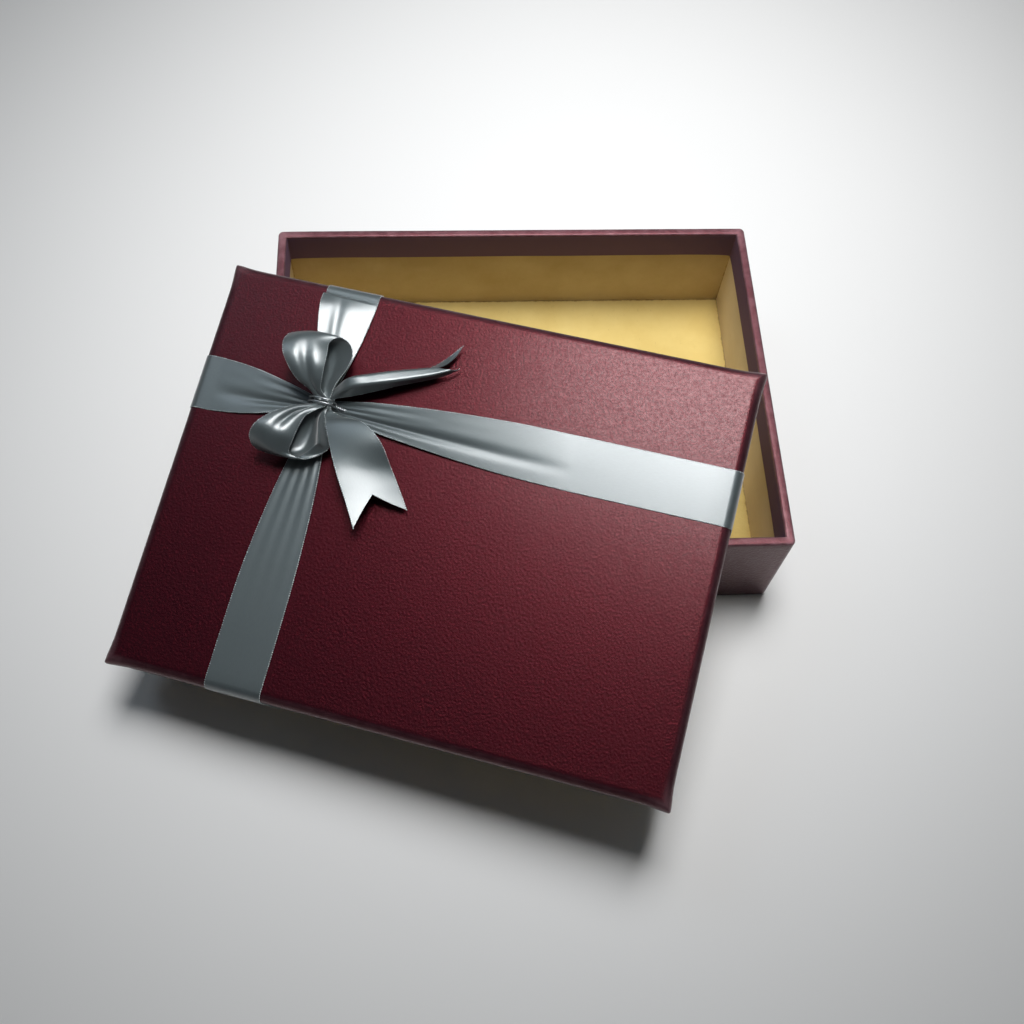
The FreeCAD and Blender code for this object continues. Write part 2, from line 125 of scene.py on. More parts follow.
camera_data = bpy.data.cameras.new("camera")
camera_data.sensor_width = SENSOR_WIDTH
camera_data.lens = LENS
camera = bpy.data.objects.new("camera", camera_data)
turned = Matrix.Rotation(math.radians(CAMERA_AZIMUTH), 4, "Z")
tipped = Matrix.Rotation(math.radians(90 - CAMERA_ELEVATION), 4, "X")
rolled = Matrix.Rotation(math.radians(CAMERA_ROLL), 4, "Z")
camera.matrix_world = Matrix.Translation(Vector(CAMERA_PLACE) * MM) @ turned @ tipped @ rolled
scene.collection.objects.link(camera)
scene.camera = camera


def soft_lamp(name, place, aim, size, power):
    """A rectangular lamp turned to a point."""
    data = bpy.data.lights.new(name, "AREA")
    data.shape = "RECTANGLE"
    data.size, data.size_y = size
    data.energy = power
    lamp = bpy.data.objects.new(name, data)
    lamp.location = place
    lamp.rotation_mode = "QUATERNION"
    lamp.rotation_quaternion = (Vector(place) - Vector(aim)).to_track_quat("Z", "Y")
    scene.collection.objects.link(lamp)
    return data


soft_lamp("lamp", LAMP_PLACE, LAMP_AIM, LAMP_SIZE, LAMP_POWER).spread = math.radians(LAMP_SPREAD)
fill = soft_lamp("fill", FILL_PLACE, FILL_AIM, (FILL_SIZE, FILL_SIZE), FILL_POWER)
fill.color = FILL_COLOUR
fill.spread = math.radians(FILL_SPREAD)


def between(tree, factor, first, second):
    """A colour between two others."""
    node = put(tree, "ShaderNodeMix", {"Factor": factor}, data_type="RGBA")
    feed(tree, node.inputs[6], first)
    feed(tree, node.inputs[7], second)
    return node.outputs[2]


room = bpy.data.worlds.new("room")
room.use_nodes = True
scene.world = room
tree = room.node_tree
way = put(tree, "ShaderNodeTexCoord")
facing = put(tree, "ShaderNodeVectorMath", operation="DOT_PRODUCT")
feed(tree, facing.inputs[0], way.outputs["Generated"])
feed(tree, facing.inputs[1], ROOM_BRIGHT_WAY)
glow = ramp(tree, facing.outputs["Value"], ((0.0, ROOM_DARK), (1.0, ROOM_LIGHT)))
seen = put(tree, "ShaderNodeLightPath").outputs["Is Camera Ray"]
feed(tree, tree.nodes["Background"].inputs["Color"], between(tree, seen, glow, ROOM_SEEN))


def material(name, **constants):
    """A new material, its node tree, its shader and its object coordinates."""
    made = bpy.data.materials.new(name)
    made.use_nodes = True
    tree = made.node_tree
    shader = tree.nodes["Principled BSDF"]
    for socket, value in constants.items():
        shader.inputs[socket.replace("_", " ")].default_value = value
    place = put(tree, "ShaderNodeTexCoord").outputs["Object"]
    return made, tree, shader, place


def noise(tree, place, scale, detail=3.0, roughness=0.5):
    """Soft noise, from about 0.3 to 0.7, with a number of bumps to the metre."""
    inputs = {"Vector": place, "Scale": scale, "Detail": detail, "Roughness": roughness}
    return put(tree, "ShaderNodeTexNoise", inputs).outputs["Fac"]


def spread(tree, value, low, high, to_low, to_high):
    """A value moved from one range to another, and held inside it."""
    inputs = {"Value": value, "From Min": low, "From Max": high, "To Min": to_low, "To Max": to_high}
    return put(tree, "ShaderNodeMapRange", inputs).outputs["Result"]


def calc(tree, operation, first, second=0.0):
    """One sum on two values."""
    node = put(tree, "ShaderNodeMath", operation=operation)
    feed(tree, node.inputs[0], first)
    feed(tree, node.inputs[1], second)
    return node.outputs["Value"]


table_finish, tree, shader, place = material("white_table", Roughness=0.65, Emission_Color=WHITE)
far = put(tree, "ShaderNodeVectorMath", operation="LENGTH")
feed(tree, far.inputs[0], place)
seen = put(tree, "ShaderNodeLightPath").outputs
seen = calc(tree, "MAXIMUM", seen["Is Camera Ray"], seen["Is Glossy Ray"])
far_glow = spread(tree, far.outputs["Value"], FAR_START, FAR_END, 0.0, FAR_GLOW)
feed(tree, shader.inputs["Emission Strength"], calc(tree, "MULTIPLY", far_glow, seen))
cloud = noise(tree, place, TABLE_CLOUD, detail=2.0)
feed(tree, shader.inputs["Base Color"], between(tree, cloud, TABLE_SHADE, TABLE_WHITE))
table_mesh = bpy.data.meshes.new("table")
square = [(-1, -1), (1, -1), (1, 1), (-1, 1)]
table_mesh.from_pydata([(x * TABLE_HALF, y * TABLE_HALF, 0) for x, y in square], [], [(0, 1, 2, 3)])
table_mesh.materials.append(table_finish)
table = bpy.data.objects.new("table", table_mesh)
scene.collection.objects.link(table)
table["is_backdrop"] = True


# Raw boards of both trays
# Five boards to each tray: coarse yellow strawboard, cut to size and butted at the corners. Its flecked
# face is bare inside the tray below the turned-in paper. The walls get a darker, greyer copy of its colour
# as painted shade, and the base's right wall a paler copy as painted light.

BOARD_GOLD = (0.67, 0.50, 0.17, 1)
BOARD_PALE = (0.73, 0.565, 0.21, 1)
# Painted shade: the walls' board colours, a darker, greyer copy of the floor's.
SHADED_WALL_TAN = (0.52, 0.41, 0.24, 1)
SHADED_WALL_PALE = (0.60, 0.49, 0.31, 1)
# Painted light: the base's right wall's board colours, a paler copy for light falling on it.
LIT_WALL_TAN = (0.76, 0.65, 0.48, 1)
LIT_WALL_PALE = (0.82, 0.71, 0.54, 1)
BOARD_BROWN = (0.30, 0.17, 0.06, 1)
BOARD_CLOUD = 45.0
BOARD_COARSE = 700.0
FLECK_SCALE = 1100.0
FLECK_RARITY = 0.67
FLECK_SHARE = 0.16
FLECK_EDGE = 0.06
FLECK_STRETCH = (1, 0.35, 1)
GAP = 0.7
GAP_RAGGED = 420.0
GAP_CORE = 0.6
GAP_SHARE = 0.55
BASE_LENGTH = 191.5
BASE_WIDTH = 144.8
BASE_BOARD = 2.8
PAPER = 0.3


def bump(tree, height, strength, distance):
    """A normal roughened by a height."""
    inputs = {"Height": height, "Strength": strength, "Distance": distance}
    return put(tree, "ShaderNodeBump", inputs).outputs["Normal"]


def effect(name, inputs, output):
    """A shader group with named inputs and one output: its tree, and its inputs as seen inside."""
    group = bpy.data.node_groups.new(name, "ShaderNodeTree")
    for label, kind in inputs.items():
        group.interface.new_socket(label, in_out="INPUT", socket_type="NodeSocket" + kind)
    group.interface.new_socket(output, in_out="OUTPUT", socket_type="NodeSocketFloat")
    return group, group.nodes.new("NodeGroupInput").outputs


def fibre_flecks_group():
    """Short scattered fibres: a mask that is 1 on a fleck and 0 between flecks."""
    inputs = {"Place": "Vector", "Scale": "Float", "Rarity": "Float"}
    group, given = effect("fibre_flecks", inputs, "Fleck")
    stretched = put(group, "ShaderNodeMapping", {"Vector": given["Place"], "Scale": FLECK_STRETCH})
    grain = noise(group, stretched.outputs["Vector"], given["Scale"], detail=2.0, roughness=0.6)
    over = calc(group, "SUBTRACT", grain, given["Rarity"])
    put(group, "NodeGroupOutput", {"Fleck": spread(group, over, 0.0, FLECK_EDGE, 0.0, 1.0)})
    return group


def joint_gaps_group():
    """Thin ragged gaps where two boards of the base meet: a mask that is 1 in a gap and 0 beside it.
    A place is on a joint when it is near two of the planes that the boards' inner faces lie in."""
    inputs = {"Place": "Vector", "Inside": "Vector", "Width": "Float"}
    group, given = effect("joint_gaps", inputs, "Gap")
    along = put(group, "ShaderNodeSeparateXYZ", {"Vector": given["Place"]}).outputs
    inner = put(group, "ShaderNodeSeparateXYZ", {"Vector": given["Inside"]}).outputs
    away = []
    for axis in "XYZ":
        past = calc(group, "SUBTRACT", calc(group, "ABSOLUTE", along[axis]), inner[axis])
        away.append(calc(group, "ABSOLUTE", past))
    nearer = calc(group, "MINIMUM", away[0], away[1])
    farther = calc(group, "MINIMUM", calc(group, "MAXIMUM", away[0], away[1]), away[2])
    torn = noise(group, given["Place"], GAP_RAGGED, detail=4.0, roughness=0.7)
    ragged = spread(group, torn, 0.35, 0.65, 0.0, given["Width"])
    reach = calc(group, "ADD", calc(group, "MAXIMUM", nearer, farther), ragged)
    core = calc(group, "MULTIPLY", given["Width"], GAP_CORE)
    put(group, "NodeGroupOutput", {"Gap": spread(group, reach, core, given["Width"], 1.0, 0.0)})
    return group


fibre_flecks = fibre_flecks_group()
joint_gaps = joint_gaps_group()
inside_length = BASE_LENGTH - 2 * (PAPER + BASE_BOARD)
inside_width = BASE_WIDTH - 2 * (PAPER + BASE_BOARD)
base_inside = (inside_length / 2 * MM, inside_width / 2 * MM, (2 * PAPER + BASE_BOARD) * MM)


def flecks(tree, place, scale, rarity):
    """The fibre flecks, placed in a material with its own values."""
    inputs = {"Place": place, "Scale": scale, "Rarity": rarity}
    return put(tree, "ShaderNodeGroup", inputs, node_tree=fibre_flecks).outputs["Fleck"]


def board_finish(name, dark, pale):
    """Bare board between two colours, with its flecks, its coarse face and the gaps at its joints."""
    made, tree, shader, place = material(name, Roughness=0.88, Specular_IOR_Level=0.25)
    cloud = noise(tree, place, BOARD_CLOUD, detail=4.0, roughness=0.6)
    plain = between(tree, spread(tree, cloud, 0.35, 0.65, 0.0, 1.0), dark, pale)
    specks = calc(tree, "MULTIPLY", flecks(tree, place, FLECK_SCALE, FLECK_RARITY), FLECK_SHARE)
    inputs = {"Place": place, "Inside": base_inside, "Width": GAP * MM}
    gaps = put(tree, "ShaderNodeGroup", inputs, node_tree=joint_gaps).outputs["Gap"]
    stained = calc(tree, "MAXIMUM", specks, calc(tree, "MULTIPLY", gaps, GAP_SHARE))
    feed(tree, shader.inputs["Base Color"], between(tree, stained, plain, BOARD_BROWN))
    coarse = noise(tree, place, BOARD_COARSE, detail=5.0, roughness=0.65)
    feed(tree, shader.inputs["Normal"], bump(tree, coarse, strength=0.25, distance=0.0004))
    return made


gold_board = board_finish("raw_board", BOARD_GOLD, BOARD_PALE)
# Painted shade: the walls of both trays take the darker, greyer copy of the board.
shaded_wall_board = board_finish("raw_board_painted_shade", SHADED_WALL_TAN, SHADED_WALL_PALE)
lit_wall_board = board_finish("raw_board_painted_light", LIT_WALL_TAN, LIT_WALL_PALE)
for tray in ("base", "lid"):
    for side in ("front", "back", "left", "right"):
        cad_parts[tray + "_" + side + "_board"].data.materials[0] = shaded_wall_board
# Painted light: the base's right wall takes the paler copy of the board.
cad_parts["base_right_board"].data.materials[0] = lit_wall_board
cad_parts["base_bottom_board"].data.materials[0] = gold_board
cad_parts["lid_panel_board"].data.materials[0] = gold_board


# Paper tape on the corners of both trays
# A short strip of brown kraft tape bent round each upright corner holds the butted boards together. The
# covering paper hides it.

KRAFT = (0.36, 0.22, 0.11, 1)
KRAFT_DARK = (0.22, 0.12, 0.055, 1)
KRAFT_CLOUD = 160.0
KRAFT_FLECK_SCALE = 900.0
KRAFT_FLECK_RARITY = 0.62
KRAFT_FIBRE = 1500.0

tape_finish, tree, shader, place = material("kraft_tape", Roughness=0.7)
tan = between(tree, noise(tree, place, KRAFT_CLOUD, detail=4.0), KRAFT, KRAFT_DARK)
specks = flecks(tree, place, KRAFT_FLECK_SCALE, KRAFT_FLECK_RARITY)
feed(tree, shader.inputs["Base Color"], between(tree, specks, tan, KRAFT_DARK))
fibre = noise(tree, place, KRAFT_FIBRE, detail=3.0)
feed(tree, shader.inputs["Normal"], bump(tree, fibre, strength=0.2, distance=0.0002))
for tray in ("base", "lid"):
    for corner in ("front_left", "front_right", "back_left", "back_right"):
        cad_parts[tray + "_corner_tape_" + corner].data.materials[0] = tape_finish


# Covering paper of the base
# One wrap of burgundy paper embossed with a fine leather grain covers the walls, goes over the rim and is
# glued down inside as a matt band, and under the bottom as a border. The band is coloured a lighter purple
# grey than the paper, as painted sheen. A second sheet covers the bottom.

WINE = (0.0118, 0.0007, 0.0042, 1)
WINE_DEEP = (0.0080, 0.0005, 0.0030, 1)
# Pale mauve of rubbed paper, also used as painted highlight along the base's rim.
WINE_WORN_AND_HIGHLIGHT = (0.23, 0.130, 0.148, 1)
# Painted sheen: the turned-in band's lighter purple grey.
WINE_PAINTED_SHEEN = (0.165, 0.105, 0.19, 1)
PAPER_GLINT = (1, 0.11, 0.15, 1)
GRAIN_SCALE = 1300.0
GRAIN_FINE = 1820.0
MOTTLE_SCALE = 850.0
RUB_SCALE = 260.0
BASE_HEIGHT = 48.0
BASE_TURN_IN = 13.0
BASE_TURN_UNDER = 14.0
WALL_ROWS = 8
BAND_ROWS = 6
RIM_ROUND = 0.8
CORNER_ROUND = 2.0
INNER_ROUND = 0.25
SIDE_STEPS = 60
CORNER_STEPS = 8
ARC_STEPS = 5
FOLD_ANGLE = 50.0
CORNER_FADE = 5.0
RIPPLE_TURNS = (5, 11, 19, 31)
RIM_SEED = 3
RIM_RIPPLE = 0.05
RIM_DROOP = 0.10
BAND_SEED = 7
BAND_RIPPLE = 0.16
BAND_DROOP = 0.9
# The rim's all-round lightening is painted highlight; its corners add rubbing.
RIM_HIGHLIGHT_AND_RUB = 0.8
RIM_CORNER_RUB = 0.6
WALL_CORNER_RUB = 0.25


def mesh_piece(name, points, faces, finish, body):
    """A piece from points in metres and faces, with its finish, on its body."""
    mesh = bpy.data.meshes.new(name)
    mesh.from_pydata([tuple(p) for p in points], [], faces)
    mesh.materials.append(finish)
    piece = bpy.data.objects.new(name, mesh)
    scene.collection.objects.link(piece)
    mesh.shade_smooth()
    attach(piece, body)
    return piece


def plan_ring(half_length, half_width, radius):
    """Points of a rounded rectangle, anticlockwise, with how far each is from the nearest corner."""
    points = []
    for quarter in range(4):
        centres = []
        for turn in (quarter, quarter + 1):
            side_x = (1, 1, -1, -1)[turn % 4]
            side_y = (-1, 1, 1, -1)[turn % 4]
            centres.append(np.array((side_x * (half_length - radius), side_y * (half_width - radius))))
        start = math.radians(90 * quarter - 90)
        for step in range(CORNER_STEPS + 1):
            angle = start + math.radians(90) * step / CORNER_STEPS
            points.append((*(centres[0] + radius * np.array((math.cos(angle), math.sin(angle)))), 0.0))
        out = radius * np.array((math.cos(start + math.pi / 2), math.sin(start + math.pi / 2)))
        span = np.linalg.norm(centres[1] - centres[0])
        for step in range(1, SIDE_STEPS):
            u = step / SIDE_STEPS
            u = u * u * (3 - 2 * u)
            points.append((*(centres[0] + u * (centres[1] - centres[0]) + out), span * min(u, 1 - u)))
    return np.array(points)


def arc_rows(inset, z, radius, start, end):
    """Profile points round an arc, as inset from the outside and height."""
    angles = np.radians(np.linspace(start, end, ARC_STEPS + 1))
    return [(inset + radius * math.cos(a), z + radius * math.sin(a)) for a in angles]


def ripple(ring, seed, size):
    """A slow uneven wave round a ring, in millimetres."""
    angle = np.linspace(0, 2 * math.pi, len(ring), endpoint=False)
    draw = np.random.default_rng(seed)
    wave = np.zeros(len(ring))
    for turns in RIPPLE_TURNS:
        wave += np.sin(turns * angle + draw.uniform(0, 2 * math.pi)) / math.sqrt(turns)
    return size * wave


def ring_faces(rows, count, closed):
    """Quads between rings of equal counts. Closed joins the last ring to the first."""
    faces = []
    for row in range(rows if closed else rows - 1):
        for i in range(count):
            j = (i + 1) % count
            low, high = row * count, (row + 1) % rows * count
            faces.append((low + i, low + j, high + j, high + i))
    return faces


def mark_folds(piece, wear_and_highlight):
    """Store how much each point is lightened, by rubbing and by painted highlight, for the paper's finish,
    and keep hard folds crisp.
    """
    attribute = piece.data.attributes.new("rubbed_and_highlight", "FLOAT", "POINT")
    attribute.data.foreach_set("value", np.array(wear_and_highlight, np.float32))
    piece.data.set_sharp_from_angle(angle=math.radians(FOLD_ANGLE))


paper_finish, tree, shader, place = material(
    "leather_grain_paper", Specular_Tint=PAPER_GLINT, Specular_IOR_Level=0.58, Coat_Roughness=0.25)
mottle = noise(tree, place, MOTTLE_SCALE, detail=5.0, roughness=0.75)
wine = between(tree, spread(tree, mottle, 0.35, 0.65, 0.0, 1.0), WINE_DEEP, WINE)
# Where rubbed, and along the base's rim as painted highlight, the paper turns a pale mauve.
rubbed_and_highlight = put(tree, "ShaderNodeAttribute", attribute_name="rubbed_and_highlight").outputs["Fac"]
patches = spread(tree, noise(tree, place, RUB_SCALE, detail=3.0), 0.35, 0.65, 0.4, 0.75)
patchy = calc(tree, "MULTIPLY", rubbed_and_highlight, patches)
feed(tree, shader.inputs["Base Color"], between(tree, patchy, wine, WINE_WORN_AND_HIGHLIGHT))
feed(tree, shader.inputs["Roughness"], spread(tree, mottle, 0.3, 0.7, 0.34, 0.48))
feed(tree, shader.inputs["Coat Weight"], spread(tree, mottle, 0.3, 0.7, 0.50, 0.14))
pebble = put(tree, "ShaderNodeTexVoronoi", {"Vector": place, "Scale": GRAIN_SCALE}, feature="SMOOTH_F1")
fine = noise(tree, place, GRAIN_FINE, detail=4.0, roughness=0.6)
height = calc(tree, "ADD", pebble.outputs["Distance"], fine)
feed(tree, shader.inputs["Normal"], bump(tree, height, strength=0.30, distance=0.0003))
# Painted sheen: the turned-in band is the same paper, coloured a lighter purple grey.
band_sheen_finish = material("turned_in_paper_painted_sheen", Base_Color=WINE_PAINTED_SHEEN, Roughness=0.8, Specular_IOR_Level=0.1)[0]

wall = BASE_BOARD + 2 * PAPER
high = BASE_HEIGHT - RIM_ROUND
band_low = BASE_HEIGHT - BASE_TURN_IN
profile = [(BASE_TURN_UNDER, PAPER)]
profile += arc_rows(RIM_ROUND, PAPER + RIM_ROUND, RIM_ROUND, 270, 180)
profile += [(0, z) for z in np.linspace(4, high - 3, WALL_ROWS)]
profile += arc_rows(RIM_ROUND, high, RIM_ROUND, 180, 90)
profile += arc_rows(wall - RIM_ROUND, high, RIM_ROUND, 90, 0)
profile += [(wall, z) for z in np.linspace(high - 2, band_low, BAND_ROWS)]
outer_rows = len(profile)
profile += [(wall - PAPER, band_low), (wall - PAPER, BASE_HEIGHT - PAPER), (PAPER, BASE_HEIGHT - PAPER)]
profile += [(PAPER, 2 * PAPER), (BASE_TURN_UNDER, 2 * PAPER)]
points, wear_and_highlight = [], []
for inset, z in profile:
    radius = max(CORNER_ROUND - inset, INNER_ROUND)
    ring = plan_ring(BASE_LENGTH / 2 - inset, BASE_WIDTH / 2 - inset, radius)
    near_corner = np.exp(-ring[:, 2] / CORNER_FADE)
    lift = np.zeros(len(ring))
    if z >= high:
        lift = ripple(ring, RIM_SEED, RIM_RIPPLE) - RIM_DROOP * near_corner
    if abs(z - band_low) < 1e-6:
        lift = ripple(ring, BAND_SEED, BAND_RIPPLE) - BAND_DROOP * near_corner
    points += [(x * MM, y * MM, (z + up) * MM) for (x, y, _), up in zip(ring, lift)]
    # Along the rim top the paper is lightened all round as painted highlight, and more at the corners as
    # rubbing.
    if z > high:
        wear_and_highlight += list(RIM_CORNER_RUB * near_corner + RIM_HIGHLIGHT_AND_RUB)
    else:
        wear_and_highlight += list(WALL_CORNER_RUB * near_corner)
faces = ring_faces(len(profile), len(ring), True)
base_wrap = mesh_piece("base_wrap", points, faces, paper_finish, "base")
base_wrap.data.materials.append(band_sheen_finish)
for row in range(outer_rows - BAND_ROWS - 1, outer_rows):
    for i in range(len(ring)):
        base_wrap.data.polygons[row * len(ring) + i].material_index = 1
mark_folds(base_wrap, wear_and_highlight)
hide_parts("base_side_paper")
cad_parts["base_bottom_paper"].data.materials[0] = paper_finish


# Covering paper of the lid
# The same paper goes over the lid's rounded top edges, down its walls and in round their lower edge. At
# each corner the folded paper stands out in a small pointed ear.

LID_LENGTH = 197.9
LID_WIDTH = 151.6
LID_HEIGHT = 25.7
LID_SPLAY = 0.4
LID_BOARD = 2.4
LID_TURN_IN = 12.0
LID_EDGE_ROUND = 3.2
LID_FOLD = 0.3
LID_CORNER = 0.7
EAR = 0.7
EAR_REACH = 5.0
EAR_HEIGHT = 6.0
TOP_RINGS = (60, 25, 8, 4)
TURN_ROWS = 5
TURN_SEED = 11
TURN_RIPPLE = 0.12
EDGE_RUB = 0.16
EDGE_CORNER_RUB = 0.35
SIDE_CORNER_RUB = 0.05

corners = np.array([v.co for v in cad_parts["lid_panel_board"].data.vertices])
corners = np.unique(corners.round(6), axis=0)
lid_along, lid_back, lid_up = np.linalg.svd(corners - corners.mean(axis=0))[2]
lid_along = lid_along * np.sign(lid_along[0])
lid_back = lid_back * np.sign(lid_back[1])
lid_up = lid_up * np.sign(lid_up[2])
lid_top = lid_up * ((corners @ lid_up).max() + PAPER * MM)
for axis in (lid_along, lid_back):
    reach = corners @ axis
    lid_top = lid_top + axis * (reach.min() + reach.max()) / 2


def on_lid(points):
    """Points given in millimetres from the middle of the lid's top, in metres in the frame."""
    points = np.asarray(points, float) * MM
    return lid_top + points[:, :1] * lid_along + points[:, 1:2] * lid_back + points[:, 2:] * lid_up


lid_wall = LID_BOARD + 2 * PAPER
lid_inset = LID_BOARD + PAPER
low = -LID_HEIGHT
turn_top = low + LID_TURN_IN
profile = [(inset, 0) for inset in TOP_RINGS]
profile += arc_rows(LID_EDGE_ROUND, -LID_EDGE_ROUND, LID_EDGE_ROUND, 90, 180)
profile += [(0, z) for z in np.linspace(-6, low + 2, WALL_ROWS)]
profile += arc_rows(LID_FOLD, low + LID_FOLD, LID_FOLD, 180, 270)
profile += arc_rows(lid_wall - LID_FOLD, low + LID_FOLD, LID_FOLD, 270, 360)
profile += [(lid_wall, z) for z in np.linspace(low + 2, turn_top, TURN_ROWS)]
profile += [(lid_inset, turn_top), (lid_inset, low + PAPER), (PAPER, low + PAPER)]
profile += [(PAPER, -LID_EDGE_ROUND)]
profile += arc_rows(LID_EDGE_ROUND, -LID_EDGE_ROUND, LID_EDGE_ROUND - PAPER, 180, 90)
profile += [(TOP_RINGS[0], -PAPER)]
points, wear_and_highlight = [], []
for inset, z in profile:
    out = -z * LID_SPLAY / LID_HEIGHT - inset
    radius = max(LID_CORNER - inset, INNER_ROUND)
    ring = plan_ring(LID_LENGTH / 2 + out, LID_WIDTH / 2 + out, radius)
    near_corner = np.exp(-(ring[:, 2] / EAR_REACH) ** 2)
    ear = EAR * math.exp(-((z + LID_EDGE_ROUND) / EAR_HEIGHT) ** 2) * (inset < LID_EDGE_ROUND)
    lift = ripple(ring, TURN_SEED, TURN_RIPPLE) * (abs(z - turn_top) < 1e-6)
    flat = ring[:, :2] + np.sign(ring[:, :2]) * (ear * near_corner)[:, None]
    points += [(x, y, z + up) for (x, y), up in zip(flat, lift)]
    if inset >= TOP_RINGS[-1]:
        wear_and_highlight += [0.0] * len(ring)
    elif -LID_EDGE_ROUND <= z < 0 or z < low + LID_FOLD:
        wear_and_highlight += list(EDGE_CORNER_RUB * near_corner + EDGE_RUB)
    else:
        wear_and_highlight += list(SIDE_CORNER_RUB * near_corner)
count = len(ring)
faces = ring_faces(len(profile), count, False)
faces = [face[::-1] for face in faces]
last = (len(profile) - 1) * count
faces.append(tuple(range(count)))
faces.append(tuple(range(last + count - 1, last - 1, -1)))
lid_wrap = mesh_piece("lid_wrap", on_lid(points), faces, paper_finish, "lid")
mark_folds(lid_wrap, wear_and_highlight)
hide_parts("lid_paper")


# Ribbon bands
# Two lengths of silver-grey satin ribbon cross on the lid off its centre. Each goes over two edges and is
# glued inside the walls. At the crossing both are drawn up in pleats and tied.

RIBBON_WIDTH = 20.0
RIBBON = 0.3
RIBBON_TURN_IN = 10.0
LENGTHWISE_Y = 29.1
CROSSWISE_X = -51.8
KNOT = np.array((-49.3, 29.5, 0.0))
RIBBON_GAP = 0.05
RIBBON_BEND = 0.4
ACROSS = 41
EASE_STEPS = 10
EDGE_ANGLE = 55.0
RIB_SOFTNESS = 0.07
CREASE_WIDTH = 0.22
SILVER = (0.088, 0.114, 0.121, 1)
SILVER_DEEP = (0.073, 0.095, 0.101, 1)
WEAVE_PITCH = 0.16
STREAK_WIDTH = 0.3
STREAK_LENGTH = 2.1

satin_finish, tree, shader, place = material(
    "satin_ribbon", Metallic=0.5, Sheen_Weight=0.4, Coat_Weight=1.0, Coat_Roughness=0.28, Coat_IOR=1.66)
along = put(tree, "ShaderNodeUVMap", uv_map="along_ribbon").outputs["UV"]
inputs = {"Vector": along, "Scale": (1 / (STREAK_LENGTH * MM), 1 / (STREAK_WIDTH * MM), 1)}
threads = put(tree, "ShaderNodeMapping", inputs)
streaks = noise(tree, threads.outputs["Vector"], 1.0, detail=4.0, roughness=0.6)
grey = between(tree, spread(tree, streaks, 0.3, 0.7, 0.0, 1.0), SILVER_DEEP, SILVER)
feed(tree, shader.inputs["Base Color"], grey)
feed(tree, shader.inputs["Roughness"], spread(tree, streaks, 0.3, 0.7, 0.44, 0.52))
inputs = {"Vector": along, "Scale": (1 / (WEAVE_PITCH * MM), 1 / (WEAVE_PITCH * MM), 1)}
weave = put(tree, "ShaderNodeMapping", inputs)
ticks = put(tree, "ShaderNodeTexVoronoi", {"Vector": weave.outputs["Vector"], "Scale": 1.0})
feed(tree, shader.inputs["Normal"], bump(tree, ticks.outputs["Distance"], strength=0.06, distance=0.00004))

selvedges = []


def eased(keys, steps):
    """Rows of numbers on a smooth curve through key rows, so many rows to every gap."""
    keys = np.array(keys, float)
    ends = np.vstack([keys[:1], keys, keys[-1:]])
    rows = []
    for p, a, b, n in zip(ends, ends[1:], ends[2:], ends[3:]):
        for u in np.arange(steps) / steps:
            curve = p - 2.5 * a + 2 * b - n / 2 + u * (1.5 * (a - b) + (n - p) / 2)
            rows.append(a + u * ((b - p) / 2 + u * curve))
    rows.append(keys[-1])
    return np.array(rows)


